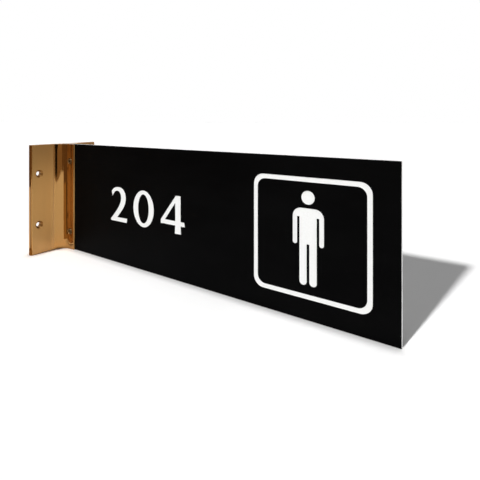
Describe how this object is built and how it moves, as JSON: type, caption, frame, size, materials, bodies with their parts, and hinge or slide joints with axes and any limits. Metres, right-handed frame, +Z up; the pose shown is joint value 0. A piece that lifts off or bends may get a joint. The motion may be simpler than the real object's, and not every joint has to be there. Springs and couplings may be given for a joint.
{
  "type": "restroom sign",
  "caption": "Double-sided restroom sign: an engraved plastic panel with a standing figure, held on edge in the slot of an extruded wall bracket.",
  "frame": {"origin": "centre of the bracket's back face, which lies on the wall", "axes": "+X out of the wall along the panel, +Z up along the bracket, -Y out of the front face with the set screws"},
  "size_m": [0.3081, 0.0698, 0.1016],
  "materials": {
    "gold_aluminium": "satin gold anodised",
    "white_core": "cut face of solid white plastic",
    "black_cap": "fine matt black",
    "set_screw_steel": "yellow zinc plated"
  },
  "bodies": {
    "bracket": {"bracket": "gold_aluminium"},
    "panel": {"panel_core": "white_core", "front_cap": "black_cap", "back_cap": "black_cap"},
    "upper_screw": {"upper_set_screw": "set_screw_steel"},
    "lower_screw": {"lower_set_screw": "set_screw_steel"}
  },
  "joints": [
    {"name": "panel_slide", "type": "slide", "parent": "bracket", "child": "panel", "axis": [1, 0, 0], "range_m": [0, 0.021]},
    {"name": "upper_screw_travel", "type": "slide", "parent": "bracket", "child": "upper_screw", "axis": [0, -1, 0], "range_m": [0, 0.002]},
    {"name": "lower_screw_travel", "type": "slide", "parent": "bracket", "child": "lower_screw", "axis": [0, -1, 0], "range_m": [0, 0.002]}
  ]
}
